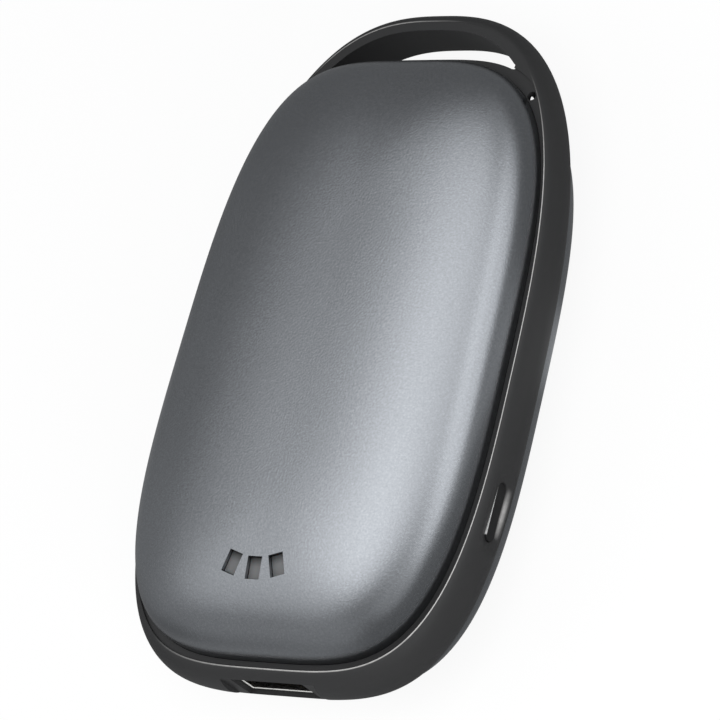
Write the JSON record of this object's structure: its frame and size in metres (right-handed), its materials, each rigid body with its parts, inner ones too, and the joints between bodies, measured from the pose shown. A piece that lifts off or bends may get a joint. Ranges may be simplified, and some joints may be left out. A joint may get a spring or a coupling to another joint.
{
  "type": "rechargeable hand warmer",
  "caption": "Pocket hand warmer with two aluminium domes on a black plastic band, a carry loop, an output socket, a charge inlet and a side button.",
  "frame": {"origin": "under the centre of the whole outline, on the flat crown of the back dome that the part lies on", "axes": "+Y along the length toward the carry loop, +X toward the side with the power button, +Z out of the front dome with the indicator windows"},
  "size_m": [0.0682, 0.122, 0.0308],
  "materials": {
    "band_plastic": "fine satin",
    "shell_aluminium": "satin anodised",
    "glue": "cured bead",
    "button_plastic": "satin",
    "switch_plastic": "moulded",
    "plunger_plastic": "moulded",
    "socket_steel": "nickel plated",
    "socket_plastic": "moulded",
    "contact_gold": "gold plated",
    "tray_plastic": "moulded",
    "cell_steel": "nickel plated",
    "sleeve_film": "shrunk film",
    "insulator_board": "fibre board",
    "strip_nickel": "bare nickel",
    "board_green": "solder mask",
    "chip_black": "moulded",
    "ferrite": "pressed ferrite",
    "ceramic_tan": "fired ceramic",
    "lamp_resin": "phosphor resin",
    "guide_milky": "milky, translucent",
    "film_amber": "laminated film with printed tracks",
    "bead_brown": "dipped resin",
    "foam_grey": "open foam",
    "screw_steel": "zinc plated",
    "lead_red": "silicone insulation",
    "lead_white": "silicone insulation",
    "lead_blue": "silicone insulation",
    "lead_yellow": "silicone insulation"
  },
  "bodies": {
    "housing": {"middle_frame": "band_plastic", "front_shell": "shell_aluminium", "back_shell": "shell_aluminium", "front_bond_ring": "glue", "back_bond_ring": "glue", "power_switch_body": "switch_plastic", "usb_output_shell": "socket_steel", "usb_output_tongue": "socket_plastic", "usb_output_contacts": "contact_gold", "charge_inlet_shell": "socket_steel", "charge_inlet_tongue": "socket_plastic", "battery_tray": "tray_plastic", "battery_clamp": "tray_plastic", "cell_left": "cell_steel", "cell_right": "cell_steel", "cell_sleeves": "sleeve_film", "cell_insulators": "insulator_board", "positive_strip": "strip_nickel", "negative_strip": "strip_nickel", "control_board": "board_green", "board_chips": "chip_black", "boost_inductor": "ferrite", "board_capacitors": "ceramic_tan", "indicator_board": "board_green", "indicator_leds": "lamp_resin", "light_guide": "guide_milky", "front_heater": "film_amber", "back_heater": "film_amber", "temperature_sensor": "bead_brown", "front_foam_pad": "foam_grey", "back_foam_pad": "foam_grey", "battery_screws": "screw_steel", "board_screws": "screw_steel", "battery_leads": "lead_red", "heater_leads": "lead_white", "indicator_leads": "lead_blue", "sensor_lead": "lead_yellow"},
    "button": {"power_button": "button_plastic"},
    "plunger": {"power_switch_plunger": "plunger_plastic"}
  },
  "joints": [
    {"name": "button_press", "type": "slide", "parent": "housing", "child": "button", "axis": [-1, 0, 0], "range_m": [0, 0.0003], "stiffness_N_per_m": 3000, "springref_m": -0.0002},
    {"name": "plunger_press", "type": "slide", "parent": "housing", "child": "plunger", "axis": [-1, 0, 0], "range_m": [0, 0.0003]}
  ],
  "couplings": [
    {"joint": "plunger_press", "follows": "button_press", "ratio": 1}
  ]
}
